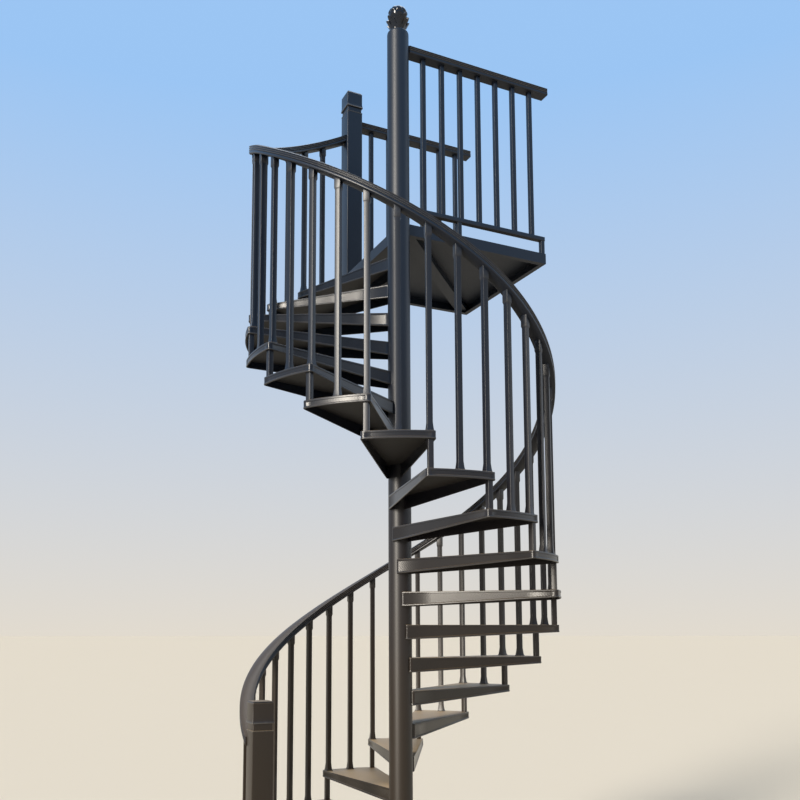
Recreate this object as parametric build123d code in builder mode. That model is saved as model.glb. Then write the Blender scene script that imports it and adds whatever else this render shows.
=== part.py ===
from build123d import *
import math
import os

os.makedirs("parts", exist_ok=True)

# Steps: heights in mm, angles in degrees counter-clockwise from above, +X to the right, -Y to the front
rise = 164.0
step_count = 22
step_turn = 20.3
first_step_angle = 193.8
tread_radius = 800.0
tread_span = 23.6
tread_plate = 5.0
tread_wall = 6.0
tread_depth_hub = 72.0
tread_depth_rim = 36.0
tread_corner = 9.0
hub_offset = 62.0
hub_along = 31.0

# Column, its rounded shoulder and the leafy ball on top
column_radius = 59.0
column_wall = 5.0
base_radius = 130.0
base_thickness = 12.0
base_bolt_circle = 200.0
base_bolt_radius = 7.0
column_over_landing = 1093.0
shoulder_height = 30.0
neck_radius = 37.0
leaf_radius = 62.0
leaf_level = 33.0
waist_radius = 52.0
waist_level = 44.0
ball_radius = 57.0
ball_level = 71.0
crown_radius = 46.0
crown_level = 104.0
top_radius = 24.0
ball_height = 127.0
leaf_rows = 9

# Bars and rail: both follow the rim of the treads
bar = 25.0
bar_inset = 35.0
post_inset = 22.0
corner_bar_turn = 10.15
shoe = 37.0
shoe_height = 42.0
collar = 31.0
collar_height = 45.0
rail_width = 66.0
rail_height = 48.0
rail_crown_width = 28.0
rail_crown_drop = 9.0
rail_bottom_width = 64.0
rail_over_tread = 1060.0
rail_ease = 68.0
rail_pieces = 5
rail_gap = 0.25

# Square newels: half widths of the mouldings and how far below the top each one lies
post = 100.0
newel_inset = 58.0
start_newel_height = 1288.0
top_newel_height = 1200.0
lid_half, lid_drop = 46.0, 8.0
block_drop = 76.0
band_half, band_drop = 54.0, 98.0
neck_half, neck_foot_drop = 46.0, 130.0
bead_half, bead_drop = 51.0, 136.0
bracket_reach = 18.0
bracket_height = 38.0
bracket_thickness = 20.0

# Landing: a square turned to the rail of the last step, u along its front edge and v to its back
landing_turn = 26.5
landing_left = 5.0
landing_right = 938.0
landing_front = -20.0
landing_back_margin = 105.0
landing_plate_thickness = 5.0
landing_frame_depth = 55.0
landing_frame_wall = 6.0
landing_frame_lip = 30.0
brace_width = 70.0
brace_depth = 40.0
brace_shift = 25.0

# Guards: places along u, heights over the landing
guard_top = 1030.0
guard_foot = 80.0
guard_low_rail = 25.0
guard_low_rail_width = 30.0
guard_overrun = 32.0
front_first_bar = 153.0
front_bar_pitch = 117.3
front_bar_count = 7
front_leg = 372.0
back_first_bar = 188.0
back_bar_pitch = 122.3
back_bar_count = 6
back_leg = 455.0
back_guard_end = 905.0

bar_radius = tread_radius - bar_inset
rail_radius = bar_radius
post_radius = tread_radius - post_inset
back_guard_v = rail_radius
landing_back = back_guard_v + landing_back_margin
landing_level = rise * (step_count + 1)
column_top = landing_level + column_over_landing
newel_clearance = 0.4
start_angle = first_step_angle + tread_span / 2
end_angle = landing_turn + 90 - math.degrees(math.asin((landing_left - newel_clearance) / rail_radius)) - 360
rail_angles = [start_angle + (end_angle - start_angle) * i / rail_pieces for i in range(rail_pieces + 1)]


def step_angle(number):
    return first_step_angle - step_turn * (number - 1)


# The last length of rail climbs a little less than the steps
def rail_top(angle):
    number = 1 + (first_step_angle - angle) / step_turn
    eased = max(0.0, rail_angles[-2] - angle) / (rail_angles[-2] - end_angle) * rail_ease
    return rise * number + rail_over_tread - eased


# Rise of the rail for each millimetre along its middle line
def rail_slope(angle):
    return (rail_top(angle) - rail_top(angle + 1)) / (math.radians(1) * rail_radius)


def rim_point(angle, radius=tread_radius):
    return (radius * math.cos(math.radians(angle)), radius * math.sin(math.radians(angle)))


# Prism whose sides lean, turned over where it widens; low_half and high_half are measured to a flat side
def leaning(x, y, low, high, low_half, high_half, sides):
    wide = max(low_half, high_half) / math.cos(math.pi / sides)
    lean = math.degrees(math.atan2(abs(low_half - high_half), high - low))
    with BuildPart() as upright:
        with BuildSketch():
            RegularPolygon(wide, sides, rotation=180 / sides)
        extrude(amount=high - low, taper=lean)
    with BuildPart() as piece:
        with Locations(Location((x, y, low)) if low_half >= high_half else Location((x, y, high), (180, 0, 0))):
            add(upright.part)
    return piece.part


# Floor flange with four bolt holes
with BuildPart() as base_flange:
    Cylinder(base_radius, base_thickness, align=(Align.CENTER, Align.CENTER, Align.MIN))
    with PolarLocations(base_bolt_circle / 2, 4, start_angle=45):
        Hole(base_bolt_radius)
base_flange.part.label = "base_flange"
export_step(base_flange.part, "parts/base_flange.step")

# Tubular column
with BuildPart() as column:
    with BuildSketch(Plane.XY.offset(base_thickness)):
        Circle(column_radius)
        Circle(column_radius - column_wall, mode=Mode.SUBTRACT)
    extrude(amount=column_top - base_thickness)
column.part.label = "column"
export_step(column.part, "parts/column.step")


# Rounded shoulder that closes the column, two steps of a quarter ellipse
finial_foot = column_top + shoulder_height
shoulder_turns = [math.pi / 4 * i for i in range(3)]
shoulder = [(neck_radius + (column_radius - neck_radius) * math.cos(a), column_top + shoulder_height * math.sin(a))
            for a in shoulder_turns]
with BuildPart() as column_cap:
    with BuildSketch(Plane.XZ):
        with BuildLine():
            Polyline((0, column_top), *shoulder, (0, finial_foot), close=True)
        make_face()
    revolve(axis=Axis.Z)
column_cap.part.label = "column_cap"
export_step(column_cap.part, "parts/column_cap.step")

# Ball in its cup of leaves, with one flat for each upright row of leaves
flats = [(neck_radius, 0), (leaf_radius, leaf_level), (waist_radius, waist_level), (ball_radius, ball_level),
         (crown_radius, crown_level), (top_radius, ball_height)]
flat_share = math.cos(math.pi / leaf_rows)
with BuildPart() as finial:
    for (low_radius, low), (high_radius, high) in zip(flats, flats[1:]):
        add(leaning(0, 0, finial_foot + low, finial_foot + high, low_radius * flat_share,
                    high_radius * flat_share, leaf_rows))
finial.part.label = "finial"
export_step(finial.part, "parts/finial.step")


# Tread: a tray upside down, its nosing edge radial and its back edge passing the column's side
def tread_outline(inset, corner):
    nosing = tread_span / 2 - math.degrees(math.asin(inset / tread_radius))
    back = math.radians(-tread_span / 2)
    rim = tread_radius - inset
    across = hub_offset - inset
    hub = (hub_along * math.cos(back) + across * math.sin(back),
           hub_along * math.sin(back) - across * math.cos(back))
    outer = rim_point(math.degrees(back + math.asin(inset / tread_radius)), rim)
    slip = (inset * math.sin(math.radians(nosing)), -inset * math.cos(math.radians(nosing)))
    with BuildSketch() as outline:
        with BuildLine():
            Line(hub, outer)
            ThreePointArc(outer, rim_point(0, rim), rim_point(nosing, rim))
            Polyline(rim_point(nosing, rim), slip, hub)
        make_face()
        if corner:
            chamfer(outline.vertices().sort_by(Axis.X)[-2:], corner)
    return outline.sketch


with BuildPart() as tread:
    with BuildSketch():
        add(tread_outline(0, tread_corner))
    extrude(amount=-tread_depth_hub)
    with BuildSketch(Plane.XY.offset(-tread_plate)):
        add(tread_outline(tread_wall, 0))
    extrude(amount=-tread_depth_hub, mode=Mode.SUBTRACT)
    with BuildSketch(Plane.XZ):
        with BuildLine():
            Polyline((column_radius, -tread_depth_hub), (tread_radius, -tread_depth_rim),
                     (2 * tread_radius, -tread_depth_rim), (2 * tread_radius, -2 * tread_depth_hub),
                     (column_radius, -2 * tread_depth_hub), close=True)
        make_face()
    extrude(amount=tread_radius, both=True, mode=Mode.SUBTRACT)
    Cylinder(column_radius, 4 * tread_depth_hub, mode=Mode.SUBTRACT)

for number in range(1, step_count + 1):
    with BuildPart() as step:
        with Locations(Location((0, 0, rise * number), (0, 0, step_angle(number)))):
            add(tread.part)
    step.part.label = f"tread_{number:02d}"
    export_step(step.part, f"parts/tread_{number:02d}.step")


# Rail section, width across x and top at y = 0: a bevelled crown over sides that taper a little
def rail_section():
    side = [(rail_crown_width / 2, 0), (rail_width / 2, -rail_crown_drop), (rail_bottom_width / 2, -rail_height)]
    with BuildSketch() as section:
        with BuildLine():
            Polyline(*side, *[(-x, y) for x, y in reversed(side)], close=True)
        make_face()
    return section.sketch


# Helical handrail in lengths that meet on upright radial faces
for number in range(1, rail_pieces + 1):
    low, high = rail_angles[number - 1], rail_angles[number]
    climb = rail_top(high) - rail_top(low)
    with BuildPart() as length:
        with BuildLine() as path:
            Helix(climb * 360 / (low - high), climb, rail_radius, lefthand=True)
        with BuildSketch(Plane(origin=(rail_radius, 0, 0), x_dir=(1, 0, 0), z_dir=(0, -1, 0))):
            add(rail_section())
        sweep(path=path.line, is_frenet=True)
    with BuildPart() as handrail:
        with Locations(Location((0, 0, rail_top(low)), (0, 0, low))):
            add(length.part)
    handrail.part.label = f"handrail_{number}"
    export_step(handrail.part, f"parts/handrail_{number}.step")


# Upright square prism or frustum, its width going from low_width to high_width
def frustum(x, y, foot, top, low_width, high_width):
    return leaning(x, y, foot, top, low_width / 2, high_width / 2, 4)


# Bar standing on a tread: flared foot, collar under the rail, top cut to the rail's slope
def stair_bar(angle, foot):
    top = rail_top(angle) - rail_height - rail_gap
    drop = rail_slope(angle) * collar / 2
    collar_foot = top - collar_height
    with BuildPart() as piece:
        add(frustum(bar_radius, 0, foot, foot + shoe_height, shoe, bar))
        add(frustum(bar_radius, 0, foot, collar_foot, bar, bar))
        add(frustum(bar_radius, 0, collar_foot, top + drop, collar, collar))
        with BuildSketch(Plane(origin=(bar_radius, 0, 0), x_dir=(0, 1, 0), z_dir=(1, 0, 0))):
            with BuildLine():
                Polyline((-collar, top + 2 * drop), (collar, top - 2 * drop), (collar, top + 4 * drop), close=True)
            make_face()
        extrude(amount=collar, both=True, mode=Mode.SUBTRACT)
    return piece.part


# Short post that ties a tread corner to the tread below
def corner_post(number):
    foot = rise * (number - 1)
    with BuildPart() as piece:
        add(frustum(post_radius, 0, foot, foot + rise - tread_plate, bar, bar))
    return piece.part


# Bars and corner posts of about three treads go together
bar_groups = [(1, 3), (4, 6), (7, 9), (10, 12), (13, 15), (16, 18), (19, 22)]
for index, (first, last) in enumerate(bar_groups, 1):
    with BuildPart() as group:
        for number in range(first, last + 1):
            middle = step_angle(number)
            corner = middle + corner_bar_turn
            with Locations(Location((0, 0, 0), (0, 0, middle))):
                add(stair_bar(middle, rise * number))
            if number > 1:
                with Locations(Location((0, 0, 0), (0, 0, corner))):
                    add(stair_bar(corner, rise * number))
                    add(corner_post(number))
    group.part.label = f"balusters_{index}"
    export_step(group.part, f"parts/balusters_{index}.step")


# Square post with a bead, a neck, a flaring band, a block and a bevelled lid, on its local origin
def newel(height):
    half = post / 2
    profile = [(half, 0), (half, height - bead_drop), (bead_half, height - bead_drop),
               (bead_half, height - neck_foot_drop), (neck_half, height - neck_foot_drop),
               (neck_half, height - band_drop), (band_half, height - band_drop),
               (half, height - block_drop), (half, height - lid_drop), (lid_half, height)]
    with BuildPart() as piece:
        for (low_half, low), (high_half, high) in zip(profile, profile[1:]):
            if high > low:
                add(frustum(0, 0, low, high, 2 * low_half, 2 * high_half))
    return piece.part


# Start newel against the nosing of the first tread
start_turn = math.radians(start_angle)
newel_radius = tread_radius - newel_inset
start_centre = (newel_radius * math.cos(start_turn) - post / 2 * math.sin(start_turn),
                newel_radius * math.sin(start_turn) + post / 2 * math.cos(start_turn))
with BuildPart() as start_newel:
    with Locations(Location((*start_centre, 0), (0, 0, start_angle))):
        add(newel(start_newel_height))
start_newel.part.label = "start_newel"
export_step(start_newel.part, "parts/start_newel.step")

# Everything on the landing is drawn in its own turned frame
landing_place = Location((0, 0, landing_level), (0, 0, landing_turn))
middle_u = (landing_left + landing_right) / 2
middle_v = (landing_front + landing_back) / 2
length_u = landing_right - landing_left
length_v = landing_back - landing_front

# Top newel with the small curved bracket that carries the end of the stair rail
rail_end = rail_top(end_angle) - landing_level - rail_height - rail_gap
rail_end_v = math.sqrt(rail_radius ** 2 - landing_left ** 2)
bracket_drop = bracket_reach * rail_slope(end_angle)
with BuildPart() as bracket:
    with BuildSketch(Plane(origin=(landing_left, rail_end_v, rail_end), x_dir=(-1, 0, 0), z_dir=(0, 1, 0))):
        with BuildLine():
            Polyline((-1, -bracket_height), (-1, 0), (0, 0), (bracket_reach, -bracket_drop))
            ThreePointArc((bracket_reach, -bracket_drop), (bracket_reach * 0.35, -bracket_height * 0.55),
                          (0, -bracket_height))
            Line((0, -bracket_height), (-1, -bracket_height))
        make_face()
    extrude(amount=bracket_thickness / 2, both=True)
with BuildPart() as top_newel:
    with Locations(landing_place):
        with Locations((landing_left + post / 2, back_guard_v, 0)):
            add(newel(top_newel_height))
        add(bracket.part)
top_newel.part.label = "top_newel"
export_step(top_newel.part, "parts/top_newel.step")

with BuildPart() as landing_plate:
    with Locations(landing_place):
        with Locations((middle_u, middle_v, -landing_plate_thickness / 2)):
            Box(length_u, length_v, landing_plate_thickness)
    with Locations((0, 0, landing_level)):
        Cylinder(column_radius, 4 * landing_plate_thickness, mode=Mode.SUBTRACT)
landing_plate.part.label = "landing_plate"
export_step(landing_plate.part, "parts/landing_plate.step")

# Frame of turned-in angle under the plate, with one diagonal brace from the column to the far corner
frame_top = -landing_plate_thickness
inner_u = length_u - 2 * landing_frame_wall
inner_v = length_v - 2 * landing_frame_wall
with BuildPart() as brace_bar:
    with Locations(Location((0, 0, frame_top - brace_depth / 2), (0, 0, 45))):
        with Locations(((length_u + length_v) / 2, -brace_shift, 0)):
            Box(length_u + length_v, brace_width, brace_depth)
    with Locations((middle_u, middle_v, frame_top)):
        Box(inner_u + landing_frame_wall, inner_v + landing_frame_wall, 2 * landing_frame_depth,
            mode=Mode.INTERSECT)
with BuildPart() as frame_local:
    with Locations((middle_u, middle_v, frame_top - landing_frame_depth / 2)):
        Box(length_u, length_v, landing_frame_depth)
        Box(length_u - 2 * landing_frame_lip, length_v - 2 * landing_frame_lip, landing_frame_depth,
            mode=Mode.SUBTRACT)
    with Locations((middle_u, middle_v, frame_top - (landing_frame_depth - landing_frame_wall) / 2)):
        Box(inner_u, inner_v, landing_frame_depth - landing_frame_wall, mode=Mode.SUBTRACT)
    add(brace_bar.part)
with BuildPart() as landing_frame:
    with Locations(landing_place):
        add(frame_local.part)
    with Locations((0, 0, landing_level)):
        Cylinder(column_radius, 4 * landing_frame_depth, mode=Mode.SUBTRACT)
landing_frame.part.label = "landing_frame"
export_step(landing_frame.part, "parts/landing_frame.step")


# Straight guard along u at a given v: top rail, low rail, bars and short legs
def guard(u_start, u_top_end, u_low_end, v, bars, legs):
    low_top = guard_foot + guard_low_rail
    rail_foot = guard_top - rail_height
    with BuildPart() as piece:
        with BuildSketch(Plane(origin=(u_start, v, guard_top), x_dir=(0, 1, 0), z_dir=(1, 0, 0))):
            add(rail_section())
        extrude(amount=u_top_end - u_start)
        with Locations(((u_start + u_low_end) / 2, v, guard_foot + guard_low_rail / 2)):
            Box(u_low_end - u_start, guard_low_rail_width, guard_low_rail)
        for u in bars:
            add(frustum(u, v, low_top, rail_foot, bar, bar))
        for u in legs:
            add(frustum(u, v, 0, guard_foot, bar, bar))
    return piece.part


front_bars = [front_first_bar + front_bar_pitch * i for i in range(front_bar_count)]
with BuildPart() as front_guard:
    with Locations(landing_place):
        add(guard(0, landing_right + guard_overrun, landing_right, 0, front_bars,
                  [front_leg, landing_right - bar / 2]))
    with Locations((0, 0, landing_level)):
        Cylinder(column_radius, 4 * guard_top, mode=Mode.SUBTRACT)
front_guard.part.label = "front_guard"
export_step(front_guard.part, "parts/front_guard.step")

back_bars = [back_first_bar + back_bar_pitch * i for i in range(back_bar_count)]
with BuildPart() as back_guard:
    with Locations(landing_place):
        add(guard(landing_left + post, back_guard_end, back_guard_end, back_guard_v, back_bars,
                  [back_leg, back_guard_end - bar / 2]))
back_guard.part.label = "back_guard"
export_step(back_guard.part, "parts/back_guard.step")
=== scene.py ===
"""Looks of an outdoor spiral stair: column, leafy ball, hollow treads, rail, bars, newels and landing."""
import math

import bpy
import numpy as np
from bpy.props import FloatProperty, FloatVectorProperty, IntProperty, PointerProperty
from mathutils import Euler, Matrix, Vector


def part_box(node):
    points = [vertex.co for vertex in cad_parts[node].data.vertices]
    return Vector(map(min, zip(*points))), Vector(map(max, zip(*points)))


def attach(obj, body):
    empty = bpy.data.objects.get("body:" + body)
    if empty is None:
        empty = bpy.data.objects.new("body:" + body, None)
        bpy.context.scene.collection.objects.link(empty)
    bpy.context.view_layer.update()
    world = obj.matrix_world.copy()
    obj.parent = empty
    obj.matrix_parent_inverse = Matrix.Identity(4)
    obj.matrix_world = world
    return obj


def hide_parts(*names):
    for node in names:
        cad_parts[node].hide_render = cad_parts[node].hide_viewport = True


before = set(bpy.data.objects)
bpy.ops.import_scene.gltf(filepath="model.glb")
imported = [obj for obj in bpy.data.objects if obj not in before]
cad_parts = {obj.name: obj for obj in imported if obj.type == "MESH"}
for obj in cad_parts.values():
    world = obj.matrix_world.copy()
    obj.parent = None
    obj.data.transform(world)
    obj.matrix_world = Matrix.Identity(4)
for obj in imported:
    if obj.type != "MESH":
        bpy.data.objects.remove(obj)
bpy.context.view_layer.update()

bl_info = {
    "name": "Spiral Stair",
    "version": (1, 0, 0),
    "blender": (4, 5, 0),
    "location": "View3D > Sidebar > Stair",
    "description": "Builds the visible surfaces and finishes of an outdoor spiral stair with a landing",
    "category": "Add Mesh",
}


def top_of(node):
    """Height of a node's highest point."""
    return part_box(node)[1].z


def nodes_named(start):
    """The nodes whose names begin with start, in order."""
    return sorted(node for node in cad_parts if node.startswith(start))


TREAD_NODES = nodes_named("tread_")
RAIL_NODES = nodes_named("handrail_")
BAR_NODES = nodes_named("balusters_")
RISE = top_of("tread_02") - top_of("tread_01")
LANDING = top_of("landing_plate")
COLUMN_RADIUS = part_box("column")[1].x
COLUMN_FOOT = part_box("column")[0].z
BALL_TOP = top_of("finial")
# Where treads and the front guard end, just inside the column, and how far other pieces run into each other
TREAD_START = COLUMN_RADIUS - 0.002
GUARD_START = COLUMN_RADIUS - 0.003
OVERLAP = 0.001


# Sizes and colours that a user would change

def length(name, description, default):
    """A size in metres."""
    return FloatProperty(name=name, description=description, default=default, unit="LENGTH", precision=4)


def turn(name, description, degrees):
    """An angle that is written here in degrees."""
    return FloatProperty(name=name, description=description, default=math.radians(degrees), unit="ROTATION")


def colour(name, description, default):
    """A linear colour."""
    return FloatVectorProperty(name=name, description=description, default=default, size=3, subtype="COLOR",
                               min=0.0, max=1.0)


class StepSizes(bpy.types.PropertyGroup):
    """Sizes of the treads, and the turn of the stair."""
    turn: turn("Turn", "How far each step turns from the last", 20.3)
    first: turn("First step", "Direction of the middle of the first tread, counter-clockwise from +X", 193.8)
    span: turn("Span", "Angle between the two long sides of a tread", 23.6)
    radius: length("Radius", "From the column's axis to the rim", 0.8)
    plate: length("Plate", "Thickness of the top of the tray", 0.005)
    wall: length("Wall", "Thickness of the flanges", 0.006)
    depth_hub: length("Depth at column", "Depth of the flanges at the column", 0.072)
    depth_rim: length("Depth at rim", "Depth of the flanges at the rim", 0.036)
    hub_offset: length("Hub offset", "How far the back flange passes from the axis", 0.062)
    hub_along: length("Hub start", "Where the back flange starts, along its own line", 0.031)
    corner: length("Corner", "Rounding of the two rim corners", 0.015)
    edge: length("Edge", "Rounding of the top edge", 0.0025)
    recess: length("Recess", "How deep the flange panels lie behind their borders", 0.0018)
    stroke: length("Leaf stroke", "Distance between the cast leaf strokes on a panel", 0.0135)


class BarSizes(bpy.types.PropertyGroup):
    """Sizes of the square bars and their feet and collars."""
    width: length("Width", "Width of a bar", 0.025)
    inset: length("Inset", "From the rim of a tread to the middle of a bar", 0.035)
    post_inset: length("Post inset", "From the rim of a tread to the middle of a corner post", 0.022)
    corner_turn: turn("Corner turn", "From the middle of a tread to its corner bar", 10.15)
    plate: length("Foot plate", "Width of the thin plate under a bar", 0.039)
    plate_height: length("Foot plate height", "Thickness of the thin plate under a bar", 0.0035)
    shoe: length("Foot", "Width of the flared foot at its bottom", 0.035)
    shoe_height: length("Foot height", "Height of the flared foot", 0.042)
    collar: length("Collar", "Width of the collar under the rail", 0.031)
    collar_height: length("Collar height", "Height of the collar under the rail", 0.045)
    rounding: length("Rounding", "Rounding of a bar's long edges", 0.0022)


class RailSizes(bpy.types.PropertyGroup):
    """Sizes of the moulded rail."""
    width: length("Width", "Width of the rail", 0.066)
    height: length("Height", "Height of the rail", 0.048)
    crown: length("Crown", "Height of the rounded top", 0.009)
    flute_pitch: length("Flute pitch", "Distance between the long ridges on each side", 0.01)
    flute_depth: length("Flute depth", "Depth of the grooves between the ridges", 0.0038)
    over_tread: length("Over tread", "Top of the rail over the treads", 1.06)
    ease: length("Ease", "How much less the last length of rail climbs", 0.068)
    lengths: IntProperty(name="Lengths", description="Number of lengths of rail", default=5, min=2)


class NewelSizes(bpy.types.PropertyGroup):
    """Sizes of the two square newels; the drops are measured down from the top."""
    width: length("Width", "Width of a newel", 0.1)
    inset: length("Inset", "From the rim to the middle of the start newel", 0.058)
    lid_half: length("Lid half width", "Half width of the lid's top", 0.046)
    lid_drop: length("Lid drop", "Height of the lid's bevel", 0.008)
    block_drop: length("Block drop", "Foot of the square block", 0.076)
    band_half: length("Band half width", "Half width of the flared band", 0.054)
    band_drop: length("Band drop", "Widest line of the flared band", 0.098)
    neck_half: length("Neck half width", "Half width of the neck", 0.046)
    neck_top: length("Neck top", "Top of the neck", 0.1)
    neck_foot: length("Neck foot", "Foot of the neck", 0.13)
    bead_half: length("Bead half width", "Half width of the thin bead", 0.051)
    bead_drop: length("Bead drop", "Foot of the thin bead", 0.136)
    rounding: length("Rounding", "Rounding of the upright edges", 0.004)
    bracket_reach: length("Bracket reach", "How far the small bracket stands out under the rail", 0.018)
    bracket_height: length("Bracket height", "Height of the small bracket", 0.038)
    bracket_thickness: length("Bracket thickness", "Thickness of the small bracket", 0.02)


class GuardSizes(bpy.types.PropertyGroup):
    """Sizes of the two guards on the landing; u runs along its front edge and v to its back."""
    turn: turn("Landing turn", "Turn of the landing about the column", 26.5)
    left: length("Left", "Left edge of the landing along u", 0.005)
    right: length("Right", "Right edge of the landing along u", 0.938)
    top: length("Top", "Top of the rail over the landing", 1.03)
    foot: length("Foot", "Underside of the low rail over the landing", 0.08)
    low_rail: length("Low rail", "Height of the low rail", 0.025)
    low_rail_width: length("Low rail width", "Width of the low rail", 0.03)
    overrun: length("Overrun", "How far the front rail runs past the landing", 0.032)
    front_first: length("First front bar", "Place of the front guard's first bar", 0.153)
    front_pitch: length("Front pitch", "Pitch of the front guard's bars", 0.1173)
    front_bars: IntProperty(name="Front bars", description="Bars in the front guard", default=7, min=1)
    front_leg: length("Front leg", "Place of the front guard's short leg", 0.372)
    back_v: length("Back line", "Middle line of the back guard", 0.765)
    back_first: length("First back bar", "Place of the back guard's first bar", 0.188)
    back_pitch: length("Back pitch", "Pitch of the back guard's bars", 0.1223)
    back_bars: IntProperty(name="Back bars", description="Bars in the back guard", default=6, min=1)
    back_leg: length("Back leg", "Place of the back guard's short leg", 0.455)
    back_end: length("Back end", "Where the back guard ends", 0.905)


class BallSizes(bpy.types.PropertyGroup):
    """Sizes of the leafy ball on the column, and of the shoulder under it."""
    height: length("Height", "From the shoulder to the top of the ball", 0.149)
    shoulder: length("Shoulder", "Height of the column's rounded shoulder", 0.019)
    neck: length("Neck", "Radius where the shoulder meets the cup of leaves", 0.037)
    body: length("Body", "Radius of the ball", 0.0495)
    tip: length("Tips", "Radius of the leaf tips", 0.065)
    lobe: length("Lobes", "How far the long lobes stand out of the ball", 0.0055)
    leaves: IntProperty(name="Leaves", description="Leaves in each row round the ball", default=9, min=3)


class FinishColours(bpy.types.PropertyGroup):
    """Colours of the weathered satin paint, its painted reflection tint and the heights where that tint turns
    from blue to brown.
    """
    # painted reflection: the blue in this blue-black paint stands for a blue sky mirrored high on the stair
    paint: colour("Paint", "Blue-black paint", (0.0030, 0.0064, 0.0145))
    # painted reflection: this brown is a warm reflection tint blended in low on the stair by height, not
    # browning by dust and sun
    brown: colour("Browned paint", "Paint low on the stair, browned by dust and sun", (0.015, 0.0095, 0.0052))
    brown_below: length("Brown below", "Height up to which the paint is fully browned", 0.9)
    blue_above: length("Blue above", "Height from which the paint isn't browned", 3.3)
    worn: colour("Worn paint", "Rubbed paint on ridges and edges", (0.062, 0.058, 0.054))
    dust: colour("Dust", "Sandy dust that settles on level faces", (0.56, 0.41, 0.245))
    stroke: colour("Leaf strokes", "Paint on the cast leaf strokes", (0.014, 0.012, 0.01))
    # painted shade: near-black colour laid on the faces that look down under the treads
    under: colour("Underside", "Paint under the treads", (0.007, 0.0055, 0.0045))
    floor: colour("Floor", "Plain studio floor", (0.74, 0.685, 0.60))


class StairSettings(bpy.types.PropertyGroup):
    """All the sizes and colours of the stair."""
    steps: PointerProperty(type=StepSizes, name="Steps", description="Treads and turn")
    bars: PointerProperty(type=BarSizes, name="Bars", description="Bars, feet and collars")
    rail: PointerProperty(type=RailSizes, name="Rail", description="Moulded rail")
    newels: PointerProperty(type=NewelSizes, name="Newels", description="Square newels")
    guards: PointerProperty(type=GuardSizes, name="Guards", description="Guards on the landing")
    ball: PointerProperty(type=BallSizes, name="Ball", description="Leafy ball")
    colours: PointerProperty(type=FinishColours, name="Colours", description="Paint and dust")


def settings():
    """The stair's settings in the open scene."""
    return bpy.context.scene.stair


# Shader maths

class Value:
    """A number or colour that changes over a surface: arithmetic on it adds Math nodes to its tree."""

    def __init__(self, nodes, socket):
        self.nodes = nodes
        self.socket = socket

    def math(self, operation, *values):
        """The result of one Math node on the given values."""
        return self.nodes.node("ShaderNodeMath", {"operation": operation}, dict(enumerate(values)))

    def __add__(self, other):
        return self.math("ADD", self, other)

    def __radd__(self, other):
        return self.math("ADD", other, self)

    def __sub__(self, other):
        return self.math("SUBTRACT", self, other)

    def __rsub__(self, other):
        return self.math("SUBTRACT", other, self)

    def __mul__(self, other):
        return self.math("MULTIPLY", self, other)

    def __rmul__(self, other):
        return self.math("MULTIPLY", other, self)

    def __pow__(self, other):
        return self.math("POWER", self, other)

    def __rpow__(self, other):
        return self.math("POWER", other, self)

    def sine(self):
        return self.math("SINE", self)

    def size(self):
        return self.math("ABSOLUTE", self)

    def between(self, low, high, way="SMOOTHSTEP"):
        """0 below low, 1 above high, and in between smooth, or straight when way is LINEAR."""
        places = {"Value": self, "From Min": low, "From Max": high}
        return self.nodes.node("ShaderNodeMapRange", {"interpolation_type": way}, places)

    def part(self, name):
        """One component of a vector, named X, Y or Z."""
        return self.nodes.node("ShaderNodeSeparateXYZ", {}, {0: self}, name)


class Nodes:
    """A node tree in the making."""

    def __init__(self, tree):
        self.tree = tree

    def node(self, kind, options, values, output=0):
        """Adds a node: its options are set first, then the values or links of its sockets."""
        made = self.tree.nodes.new(kind)
        for option, value in options.items():
            setattr(made, option, value)
        for key, value in values.items():
            self.feed(made.inputs[key], value)
        return Value(self, made.outputs[output])

    def feed(self, socket, value):
        """Links a value to a socket, or sets a plain number, colour or vector on it."""
        if isinstance(value, Value):
            self.tree.links.new(value.socket, socket)
        elif isinstance(value, (int, float)):
            socket.default_value = value
        else:
            socket.default_value = (*value, 1.0)[:len(socket.default_value)]

    def blend(self, share, first, second):
        """Mixes two colours by a share from 0 to 1."""
        mixed = {"Factor": share, 6: first, 7: second}
        return self.node("ShaderNodeMix", {"data_type": "RGBA"}, mixed, 2)


class Finish(Nodes):
    """A node material in the making, on one Principled shader."""

    def __init__(self, name):
        self.material = bpy.data.materials.new(name)
        self.material.use_nodes = True
        super().__init__(self.material.node_tree)
        self.shader = self.tree.nodes["Principled BSDF"]

    def place(self):
        """Object coordinates, in metres from the foot of the column."""
        return self.node("ShaderNodeTexCoord", {}, {}, "Object")

    def surface_map(self, axis):
        """A coordinate of the piece's own map, in metres along the surface."""
        return self.node("ShaderNodeTexCoord", {}, {}, "UV").part(axis)

    def painted(self, name):
        """A number that the piece's mesh carries at its vertices."""
        return self.node("ShaderNodeAttribute", {"attribute_name": name}, {}, "Fac")

    def noise(self, scale, detail):
        """Cloudy noise from 0 to 1 with about scale clouds a metre."""
        sockets = {"Vector": self.place(), "Scale": scale, "Detail": detail, "Roughness": 0.55}
        return self.node("ShaderNodeTexNoise", {}, sockets)

    def facing_up(self):
        """1 on level faces that look up, 0 on upright ones and -1 on those that look down."""
        return self.node("ShaderNodeNewGeometry", {}, {}, "Normal").part("Z")

    def facing_down(self):
        """0 on faces that look up or sideways, rising to 1 on level ones that look down."""
        return (0 - self.facing_up()).between(0.5, 0.95)

    def bump(self, height, distance, strength):
        """A normal bent by a height from 0 to 1 that stands for distance in metres."""
        return self.node("ShaderNodeBump", {}, {"Height": height, "Distance": distance, "Strength": strength})

    def finished(self, base, roughness, normal, specular):
        """Feeds the shader and returns the material."""
        sockets = {"Base Color": base, "Roughness": roughness, "Normal": normal,
                   "Specular IOR Level": specular}
        for name, value in sockets.items():
            self.feed(self.shader.inputs[name], value)
        return self.material


PAINT_SPECULAR = 0.42


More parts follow.
